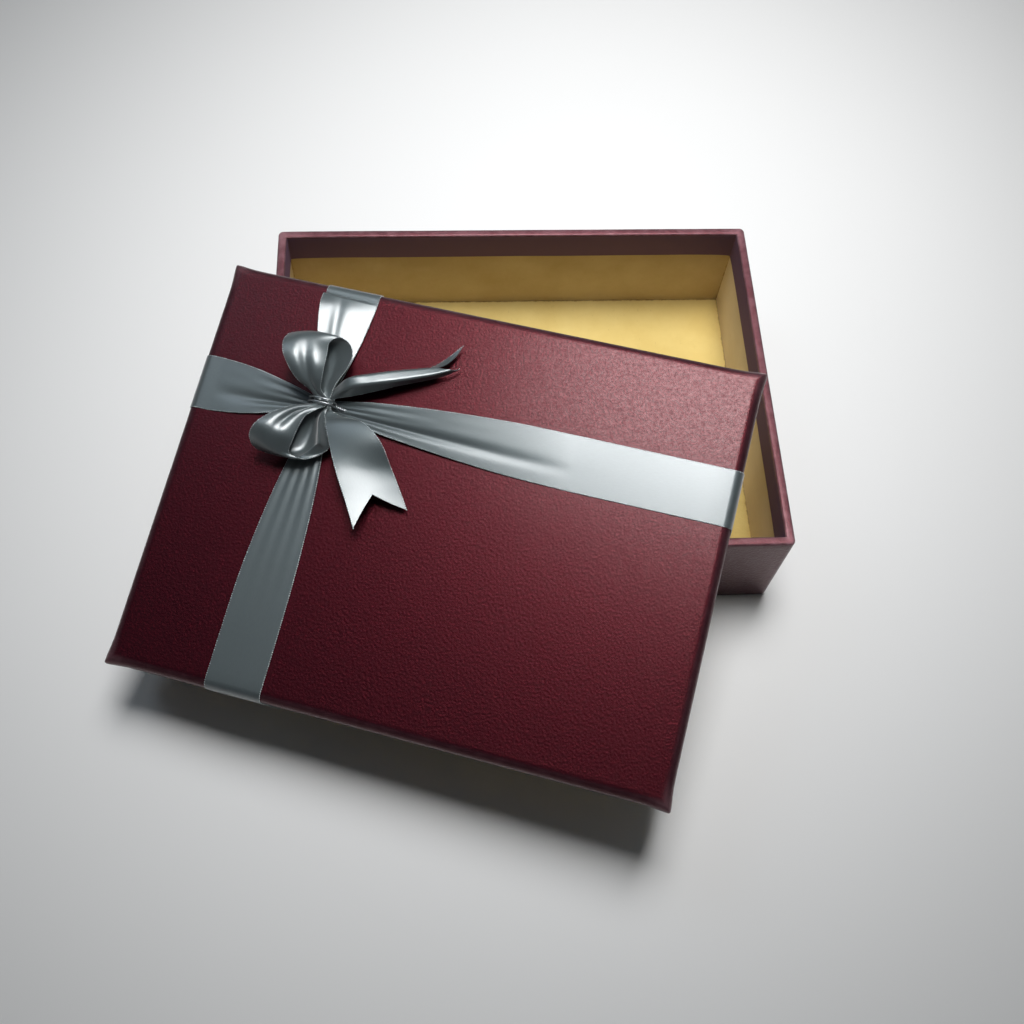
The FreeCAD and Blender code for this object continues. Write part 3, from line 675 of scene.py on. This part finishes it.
def ribbon(name, rows, folds, cuts=(0.0, 0.0), ribs=(-1.0, 1.0)):
    """A closed ribbon through rows of places of its ribs, a crown and depths of folds, in lid millimetres.
    Ribs run from -1 at the left edge to 1 at the right one. Folds give each fold's shape across the width.
    Cuts are the depths of the V notches at both ends. Returns the piece and its length in metres."""
    wide = 3 * len(ribs)
    centres = (rows[:, :3] + rows[:, wide - 3:wide]) / 2
    run = np.concatenate([[0], np.cumsum(np.linalg.norm(np.diff(centres, axis=0), axis=1))])
    table_rows = np.hstack([rows, np.gradient(centres, axis=0)])
    count = len(rows)
    sheet = np.empty((count, ACROSS, 3))
    flat = np.empty((count, ACROSS, 2))
    for column, t in enumerate(np.linspace(-1, 1, ACROSS)):
        start = cuts[0] * (1 - abs(t))
        end = run[-1] - cuts[1] * (1 - abs(t))
        at = start + run / run[-1] * (end - start)
        here = np.array([np.interp(at, run, part) for part in table_rows.T]).T
        normal = np.cross(here[:, wide - 3:wide] - here[:, :3], here[:, -3:])
        normal /= np.linalg.norm(normal, axis=1, keepdims=True)
        rise = here[:, wide] * (1 - t * t)
        for depth, fold in zip(here[:, wide + 1:-3].T, folds):
            rise = rise + depth * fold(t)
        soft = RIB_SOFTNESS * (len(ribs) > 2) * (1 - t ** 4)
        near = (t - soft, t, t + soft)
        shares = [np.mean([np.interp(spot, ribs, rib) for spot in near]) for rib in np.eye(len(ribs))]
        place = np.einsum("r,nrk->nk", shares, here[:, :wide].reshape(count, -1, 3))
        sheet[:, column] = place + normal * rise[:, None]
        flat[:, column, 0] = at * MM
        flat[:, column, 1] = t * RIBBON_WIDTH / 2 * MM
    normal = np.cross(np.gradient(sheet, axis=1), np.gradient(sheet, axis=0))
    normal /= np.linalg.norm(normal, axis=2, keepdims=True)
    grid = np.array([sheet, sheet + normal * RIBBON])
    under, over = np.arange(2 * count * ACROSS).reshape(2, count, ACROSS)
    faces = []
    for i in range(count - 1):
        for j in range(ACROSS - 1):
            faces.append((over[i, j], over[i, j + 1], over[i + 1, j + 1], over[i + 1, j]))
            faces.append((under[i, j], under[i + 1, j], under[i + 1, j + 1], under[i, j + 1]))
        for j, (first, second) in ((0, (under, over)), (ACROSS - 1, (over, under))):
            faces.append((first[i, j], second[i, j], second[i + 1, j], first[i + 1, j]))
    for j in range(ACROSS - 1):
        faces.append((under[0, j], under[0, j + 1], over[0, j + 1], over[0, j]))
        faces.append((over[-1, j], over[-1, j + 1], under[-1, j + 1], under[-1, j]))
    points = on_lid(grid.reshape(-1, 3))
    faces = [tuple(map(int, face)) for face in faces]
    piece = mesh_piece(name, points, faces, satin_finish, "lid")
    layer = piece.data.uv_layers.new(name="along_ribbon")
    vertex = np.empty(len(piece.data.loops), int)
    piece.data.loops.foreach_get("vertex_index", vertex)
    both = np.concatenate([flat.reshape(-1, 2)] * 2)
    layer.data.foreach_set("uv", both[vertex].ravel())
    piece.data.set_sharp_from_angle(angle=math.radians(EDGE_ANGLE))
    for j in (0, ACROSS - 1):
        selvedges.append(on_lid((grid[0, :, j] + grid[1, :, j]) / 2))
    return piece, run[-1] * MM


def wrap_keys(half_span, start):
    """Along and height of a ribbon's path from inside one wall, round its edge, to a place on the top."""
    slope = math.atan2(LID_SPLAY, LID_HEIGHT)
    out = np.array((math.cos(slope), math.sin(slope)))
    down = np.array((math.sin(slope), -math.cos(slope)))
    gap = RIBBON_GAP
    bend = np.array((half_span - LID_EDGE_ROUND * math.tan(math.pi / 4 - slope / 2), -LID_EDGE_ROUND))
    foot = np.array((half_span + LID_SPLAY, -LID_HEIGHT))
    heel = foot - (lid_wall, 0)
    stops = (0, 4, 8, RIBBON_TURN_IN - RIBBON_BEND)
    path = [heel - out * gap - down * (RIBBON_TURN_IN - stop) for stop in stops]
    path += [heel + (0.0, -gap), heel + (0.5, -gap), foot + (-0.5, -gap), foot + (0.0, -gap)]
    path += [foot + out * gap - down * RIBBON_BEND]
    turn = np.linspace(slope, math.pi / 2, 9)
    wall_top = bend + out * (LID_EDGE_ROUND + gap)
    path += [foot + out * gap + (wall_top - foot - out * gap) * u for u in (0.25, 0.5, 0.75)]
    path += [bend + (LID_EDGE_ROUND + gap) * np.array((math.cos(a), math.sin(a))) for a in turn]
    path += [np.array((bend[0] + u * (start - bend[0]), gap)) for u in (0.25, 0.6)]
    return np.array(path)


def band(name, half_span, knot_along, knot_beside, gather, folds, turn, shift):
    """One ribbon over the lid: flat round both edges, drawn up in folds to a waist at the knot.
    Each row of gather is a place from the knot, the lift off the lid, the width, how much higher the left
    edge is than the right one, and the depths of folds."""
    waist = min(row[2] for row in gather)
    half = RIBBON_WIDTH / 2
    bare = (0.0,) * (1 + len(folds))
    drawn = []
    for along, lift, width, tilt, *depths in gather:
        beside = knot_beside * (RIBBON_WIDTH - width) / (RIBBON_WIDTH - waist)
        x, z = knot_along + along, lift + sum(depths) + RIBBON_GAP
        drawn.append((x, beside + width / 2, z + tilt, x, beside - width / 2, z, 0.0, *depths))
    left = [(-x, half, z, -x, -half, z, *bare) for x, z in wrap_keys(half_span, -drawn[0][0])]
    right = [(x, half, z, x, -half, z, *bare) for x, z in wrap_keys(half_span, drawn[-1][0])[::-1]]
    rows = np.vstack([left, eased(drawn, EASE_STEPS), right])
    c, s = math.cos(turn), math.sin(turn)
    for k in (0, 3):
        x, y = rows[:, k].copy(), rows[:, k + 1].copy()
        rows[:, k], rows[:, k + 1] = c * x - s * y + shift[0], s * x + c * y + shift[1]
    return ribbon(name, rows, folds)


def gathers(t):
    """Four small gathers side by side."""
    return math.sin(4 * math.pi * t)


def crease(middle):
    """One soft crease at a place across the width."""
    return lambda t: -math.exp(-((t - middle) / CREASE_WIDTH) ** 2)


lengthwise, cut_length = band("lengthwise_satin", LID_LENGTH / 2, KNOT[0], KNOT[1] - LENGTHWISE_Y, (
    (-42, 0.0, 20.0, 0.0, 0.0, 0.0),
    (-30, 0.1, 17.5, 0.0, 0.5, 0.0),
    (-15, 0.2, 11.0, 0.0, 0.8, 0.1),
    (-4, 0.1, 5.5, 0.0, 0.3, 0.2),
    (4, 0.1, 5.5, 0.0, 0.3, 0.2),
    (18, 0.4, 10.0, 0.5, 0.7, 0.1),
    (42, 0.3, 15.0, 1.1, 0.6, 0.0),
    (68, 0.1, 18.8, 0.7, 0.25, 0.0),
    (92, 0.0, 20.0, 0.0, 0.0, 0.0),
), (crease(0.3), gathers), 0.0, (0, LENGTHWISE_Y))
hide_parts("lengthwise_ribbon")
crosswise, cut_length = band("crosswise_satin", LID_WIDTH / 2, KNOT[1], CROSSWISE_X - KNOT[0], (
    (-88, 0.0, 20.0, 0.0, 0.0, 0.0),
    (-62, 0.1, 19.2, 0.0, 0.0, 0.02),
    (-36, 0.4, 15.5, 0.0, 0.0, 0.06),
    (-16, 1.2, 10.0, 0.0, 0.1, 0.16),
    (-4, 2.6, 5.0, 0.0, 0.2, 0.15),
    (4, 2.6, 5.0, 0.3, 0.2, 0.15),
    (15, 1.3, 10.5, 2.2, 0.3, 0.05),
    (27, 0.3, 16.0, 4.2, 0.4, 0.0),
    (36, 0.1, 19.0, 4.0, 0.4, 0.0),
    (41, 0.0, 20.0, 2.4, 0.2, 0.0),
), (crease(-0.3), gathers), math.pi / 2, (CROSSWISE_X, 0))
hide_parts("crosswise_ribbon")


# Bow
# One length of the same ribbon is folded into two loops and a second below it into two tails with V-cut
# ends, the back one folded along its middle. Both are drawn in where the wire ties them on the crossing.

TAIL_NOTCH = 9.0
TAIL_RIBS = (-1.0, 0.0, 0.45, 1.0)
DIP_WIDTH = 0.34
LIP_START = 0.2
LIP_CURL = 1.4
TUCK_PLACE = 0.70
TUCK_WIDTH = 0.19


def from_knot(keys, ribs):
    """Rows eased through key rows of so many ribs, moved from the knot to the lid."""
    rows = eased(keys, EASE_STEPS)
    for k in range(0, 3 * ribs, 3):
        rows[:, k:k + 3] += KNOT
    return rows


def dip(t):
    """A soft valley along the middle."""
    return -math.exp(-(t / DIP_WIDTH) ** 2)


def lip(t):
    """The right part turned out of the flat."""
    return max(0.0, (t - LIP_START) / (1 - LIP_START)) ** LIP_CURL


def tuck(t):
    """One narrow tuck beside the right edge."""
    return math.exp(-((t - TUCK_PLACE) / TUCK_WIDTH) ** 2)


def open_row(left, right, crown):
    """A row of the tails where the ribbon lies open, its ribs level between the edges."""
    left, right = np.array(left), np.array(right)
    row = []
    for rib in TAIL_RIBS:
        row += list(left + (right - left) * (rib + 1) / 2)
    return [*row, crown]


loops, cut_length = ribbon("bow_loops_satin", from_knot((
    (-2.3, 0.3, 6.6, 2.3, 0.3, 6.6, 0.3, 0.3, 0.0, 0.0),
    (-2.7, 1.5, 6.8, 1.8, 1.6, 6.8, 0.3, 0.4, 0.0, 0.0),
    (-5.0, 3.2, 8.8, -0.6, 3.6, 8.9, 0.4, 0.8, 0.0, 0.0),
    (-8.9, 4.8, 12.0, -0.7, 6.7, 11.0, 0.6, 1.0, 0.0, 0.0),
    (-12.6, 8.3, 14.4, -0.8, 11.2, 12.2, 0.9, 1.1, 0.0, 0.0),
    (-15.6, 12.6, 15.2, -1.3, 15.9, 11.8, 1.2, 0.8, 0.0, 0.0),
    (-16.9, 17.4, 13.8, -2.1, 20.4, 10.6, 1.4, 0.3, 0.0, 0.0),
    (-16.0, 21.4, 9.8, 0.6, 23.2, 9.6, 1.2, 0.0, 0.0, 0.0),
    (-13.6, 21.6, 6.0, 4.6, 22.2, 8.2, 0.8, 0.0, -0.3, 0.0),
    (-11.0, 17.5, 4.4, 6.6, 18.8, 6.2, 0.3, 0.0, -1.8, 0.0),
    (-8.0, 11.5, 4.6, 6.0, 13.4, 5.6, 0.1, 0.0, -2.0, 0.0),
    (-4.8, 5.6, 5.4, 3.2, 7.0, 5.8, 0.0, 0.0, -0.8, 0.0),
    (-2.4, 2.2, 5.5, 2.4, 2.2, 5.5, 0.0, 0.2, 0.0, 0.0),
    (-2.4, -2.2, 5.5, 2.4, -2.2, 5.5, 0.0, 0.2, 0.0, 0.0),
    (-5.4, -5.6, 5.4, 2.8, -6.2, 5.6, 0.0, -1.2, 0.0, -2.0),
    (-8.6, -11.5, 4.6, 5.2, -11.4, 4.6, 0.0, -1.6, 0.0, -4.2),
    (-11.8, -19.0, 4.4, 6.6, -16.2, 4.2, 0.2, -1.0, 0.0, -4.0),
    (-17.0, -21.8, 6.8, 1.0, -21.2, 6.4, 0.8, 0.0, 0.0, 0.0),
    (-19.2, -19.0, 11.4, -5.0, -21.2, 8.0, 1.2, 0.0, 0.0, 0.0),
    (-17.6, -14.9, 14.2, -4.4, -16.3, 10.4, 1.4, 0.4, 0.0, 0.0),
    (-13.9, -10.0, 13.2, -3.9, -11.4, 10.2, 1.1, 1.0, 0.0, 0.0),
    (-9.0, -5.4, 10.6, -3.0, -7.1, 9.4, 0.7, 1.0, 0.0, 0.0),
    (-4.6, -2.9, 8.2, -0.2, -3.8, 8.3, 0.4, 0.6, 0.0, 0.0),
    (-2.7, -1.5, 6.8, 1.8, -1.7, 6.8, 0.3, 0.4, 0.0, 0.0),
    (-2.3, -0.3, 6.6, 2.3, -0.3, 6.6, 0.3, 0.3, 0.0, 0.0),
), 2), (dip, lip, tuck))
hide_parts("bow_loops")

tails, cut_length = ribbon("bow_tails_satin", from_knot((
    open_row((24.5, -41.5, 7.6), (39.3, -30.1, 2.4), 0.3),
    open_row((19.0, -32.6, 7.9), (35.0, -23.8, 2.8), 0.4),
    open_row((13.3, -24.0, 8.3), (30.5, -17.6, 4.0), 0.5),
    open_row((8.1, -14.9, 7.6), (25.4, -10.3, 8.0), 0.5),
    open_row((4.3, -8.0, 6.6), (17.3, -4.7, 7.6), 0.4),
    open_row((2.4, -4.6, 4.6), (8.6, -3.6, 5.0), 0.2),
    open_row((-1.2, -2.2, 4.2), (3.6, -1.6, 4.2), 0.0),
    open_row((-1.2, 2.2, 4.2), (3.6, 1.6, 4.2), 0.0),
    (2.8, 6.0, 4.1, 4.6, 6.6, 6.6, 4.9, 4.3, 6.6, 4.4, 2.9, 4.6, 0.0),
    (7.2, 10.9, 3.4, 8.4, 9.4, 9.8, 9.6, 6.3, 9.6, 9.3, 5.0, 4.4, 0.0),
    (13.7, 14.4, 2.2, 14.9, 12.6, 9.0, 16.8, 9.5, 9.2, 17.1, 8.4, 4.8, 0.0),
    (21.8, 17.8, 1.4, 22.8, 16.2, 7.3, 24.8, 13.1, 7.7, 24.9, 12.4, 4.6, 0.0),
    (32.3, 21.6, 1.0, 33.1, 20.3, 5.2, 34.8, 17.9, 5.7, 34.2, 17.4, 2.8, 0.0),
    (38.0, 26.0, 1.8, 39.3, 22.6, 3.9, 40.6, 21.5, 4.3, 39.9, 20.8, 2.2, 0.0),
    (42.9, 32.1, 2.5, 46.0, 25.6, 3.4, 45.4, 24.4, 3.4, 43.6, 23.7, 2.4, 0.0),
), len(TAIL_RIBS)), (), (TAIL_NOTCH, TAIL_NOTCH), TAIL_RIBS)
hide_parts("bow_tails")


# Picot stitches on the ribbon's edges
# A row of small tight stitches in a paler thread binds both edges of every length of ribbon and keeps the
# satin from fraying.

STITCH_PITCH = 0.8
STITCH_LENGTH = 0.7
STITCH_WIDTH = 0.45
STITCH_SEED = 4
STITCH_SMALLEST = 0.8
STITCH_LARGEST = 1.1
THREAD_PALE = (0.58, 0.64, 0.65, 1)
THREAD_GREY = (0.38, 0.425, 0.43, 1)
THREAD_LUSTRE = 2500.0

thread_finish, tree, shader, place = material("selvedge_thread", Roughness=0.4, Metallic=0.3)
lustre = spread(tree, noise(tree, place, THREAD_LUSTRE, detail=2.0), 0.35, 0.65, 0.0, 1.0)
feed(tree, shader.inputs["Base Color"], between(tree, lustre, THREAD_GREY, THREAD_PALE))


def stitch_tree():
    """Nodes that set one stitch after another along lines of points."""
    nodes = bpy.data.node_groups.new("picot_stitches", "GeometryNodeTree")
    kinds = {"Geometry": "Geometry", "Pitch": "Float", "Length": "Float", "Width": "Float"}
    kinds.update({"Smallest": "Float", "Largest": "Float", "Seed": "Int", "Thread": "Material"})
    for label, kind in kinds.items():
        nodes.interface.new_socket(label, in_out="INPUT", socket_type="NodeSocket" + kind)
    nodes.interface.new_socket("Geometry", in_out="OUTPUT", socket_type="NodeSocketGeometry")
    given = nodes.nodes.new("NodeGroupInput").outputs
    line = put(nodes, "GeometryNodeMeshToCurve", {"Mesh": given["Geometry"]})
    inputs = {"Curve": line.outputs["Curve"], "Length": given["Pitch"]}
    dots = put(nodes, "GeometryNodeCurveToPoints", inputs, mode="LENGTH")
    bead = put(nodes, "GeometryNodeMeshUVSphere", {"Segments": 6, "Rings": 4, "Radius": 0.5})
    inputs = {"X": given["Width"], "Y": given["Width"], "Z": given["Length"]}
    size = put(nodes, "ShaderNodeCombineXYZ", inputs)
    vary = put(nodes, "FunctionNodeRandomValue", {"Seed": given["Seed"]}, data_type="FLOAT")
    feed(nodes, vary.inputs[2], given["Smallest"])
    feed(nodes, vary.inputs[3], given["Largest"])
    scaled = put(nodes, "ShaderNodeVectorMath", operation="SCALE")
    feed(nodes, scaled.inputs[0], size.outputs["Vector"])
    feed(nodes, scaled.inputs["Scale"], vary.outputs[1])
    placed = put(nodes, "GeometryNodeInstanceOnPoints", {
        "Points": dots.outputs["Points"],
        "Instance": bead.outputs["Mesh"],
        "Rotation": dots.outputs["Rotation"],
        "Scale": scaled.outputs["Vector"],
    })
    real = put(nodes, "GeometryNodeRealizeInstances", {"Geometry": placed.outputs["Instances"]})
    smooth = put(nodes, "GeometryNodeSetShadeSmooth", {"Geometry": real.outputs["Geometry"]})
    inputs = {"Geometry": smooth.outputs["Geometry"], "Material": given["Thread"]}
    dyed = put(nodes, "GeometryNodeSetMaterial", inputs)
    put(nodes, "NodeGroupOutput", {"Geometry": dyed.outputs["Geometry"]})
    return nodes


points, edges = [], []
for line in selvedges:
    first = len(points)
    points += [tuple(p) for p in line]
    edges += [(i, i + 1) for i in range(first, first + len(line) - 1)]
lines = bpy.data.meshes.new("selvedge_lines")
lines.from_pydata(points, edges, [])
stitched = bpy.data.objects.new("selvedge_lines", lines)
scene.collection.objects.link(stitched)
modifier = stitched.modifiers.new("stitches", "NODES")
modifier.node_group = stitch_tree()
given = {
    "Pitch": STITCH_PITCH * MM,
    "Length": STITCH_LENGTH * MM,
    "Width": STITCH_WIDTH * MM,
    "Smallest": STITCH_SMALLEST,
    "Largest": STITCH_LARGEST,
    "Seed": STITCH_SEED,
    "Thread": thread_finish,
}
for socket in modifier.node_group.interface.items_tree:
    if socket.in_out == "INPUT" and socket.name in given:
        modifier[socket.identifier] = given[socket.name]
bpy.context.view_layer.update()
depsgraph = bpy.context.evaluated_depsgraph_get()
stitch_mesh = bpy.data.meshes.new_from_object(stitched.evaluated_get(depsgraph))
bpy.data.objects.remove(stitched)
stitches = bpy.data.objects.new("selvedge_stitches", stitch_mesh)
scene.collection.objects.link(stitches)
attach(stitches, "lid")


# Tie wire
# Two tight turns of thin silver wire bind the bow to the crossing. Its ends are twisted together at the
# right of the knot.

WIRE = 0.7
WIRE_SIDES = 10
WIRE_STEPS = 121
WIRE_PITCH = 1.5
WIRE_HALF_SPAN = 4.7
WIRE_LOW = 2.2
WIRE_HIGH = 8.2
WIRE_FULLNESS = 0.8
WIRE_STEP = 6.0
WIRE_ANGLE = 50.0
TWIST_START = np.array((5.1, -0.3, 4.6))
TWIST_WAY = np.array((4.0, -1.0, 0.8))
TWIST_RADIUS = 0.45
TWIST_TURNS = 2.5
TWIST_STEPS = 41
STEEL = (0.50, 0.53, 0.54, 1)
STEEL_DULL = (0.34, 0.36, 0.37, 1)
STEEL_SCRATCH = 3000.0

wire_finish, tree, shader, place = material("tie_wire", Metallic=1.0)
scratch = noise(tree, place, STEEL_SCRATCH, detail=3.0)
feed(tree, shader.inputs["Base Color"], between(tree, scratch, STEEL, STEEL_DULL))
feed(tree, shader.inputs["Roughness"], spread(tree, scratch, 0.3, 0.7, 0.26, 0.4))


def fuller(wave):
    """A wave with squarer corners, so that the wire's turns lie flat on the bow."""
    return np.sign(wave) * abs(wave) ** WIRE_FULLNESS


def tube(path, first):
    """Points and faces of a round wire along a path, its points numbered from a first one."""
    heading = np.gradient(path, axis=0)
    heading /= np.linalg.norm(heading, axis=1, keepdims=True)
    side = np.cross(heading, (0.0, 1.0, 0.0))
    side /= np.linalg.norm(side, axis=1, keepdims=True)
    other = np.cross(heading, side)
    points = []
    for angle in np.linspace(0, 2 * math.pi, WIRE_SIDES, endpoint=False):
        points.append(path + WIRE / 2 * (math.cos(angle) * side + math.sin(angle) * other))
    points = np.array(points).transpose(1, 0, 2).reshape(-1, 3)
    faces = ring_faces(len(path), WIRE_SIDES, False)
    faces.append(tuple(range(WIRE_SIDES - 1, -1, -1)))
    faces.append(tuple(range((len(path) - 1) * WIRE_SIDES, len(path) * WIRE_SIDES)))
    return points, [tuple(first + k for k in face) for face in faces]


around = np.linspace(-math.pi / 2, 3.5 * math.pi, WIRE_STEPS)
middle, reach = (WIRE_HIGH + WIRE_LOW) / 2, (WIRE_HIGH - WIRE_LOW) / 2
step = WIRE_PITCH * (1 / (1 + np.exp(-(around - 1.5 * math.pi) * WIRE_STEP)) - 0.5)
x = WIRE_HALF_SPAN * fuller(np.cos(around))
z = middle + reach * fuller(np.sin(around))
points, faces = tube(np.array([x, step, z]).T + KNOT, 0)
twist = np.linspace(0, 1, TWIST_STEPS)
for start in (0.0, math.pi):
    angle = start + twist * 2 * math.pi * TWIST_TURNS
    coil = TWIST_RADIUS * np.array([0 * angle, np.cos(angle), np.sin(angle)]).T
    strand = TWIST_START + twist[:, None] * TWIST_WAY + coil + KNOT
    more, more_faces = tube(strand, len(points))
    points = np.vstack([points, more])
    faces += more_faces
wire = mesh_piece("tie_wire", on_lid(points), faces, wire_finish, "lid")
wire.data.set_sharp_from_angle(angle=math.radians(WIRE_ANGLE))
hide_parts("bow_tie_wire")


# Size of the dressed model, and the end
low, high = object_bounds()
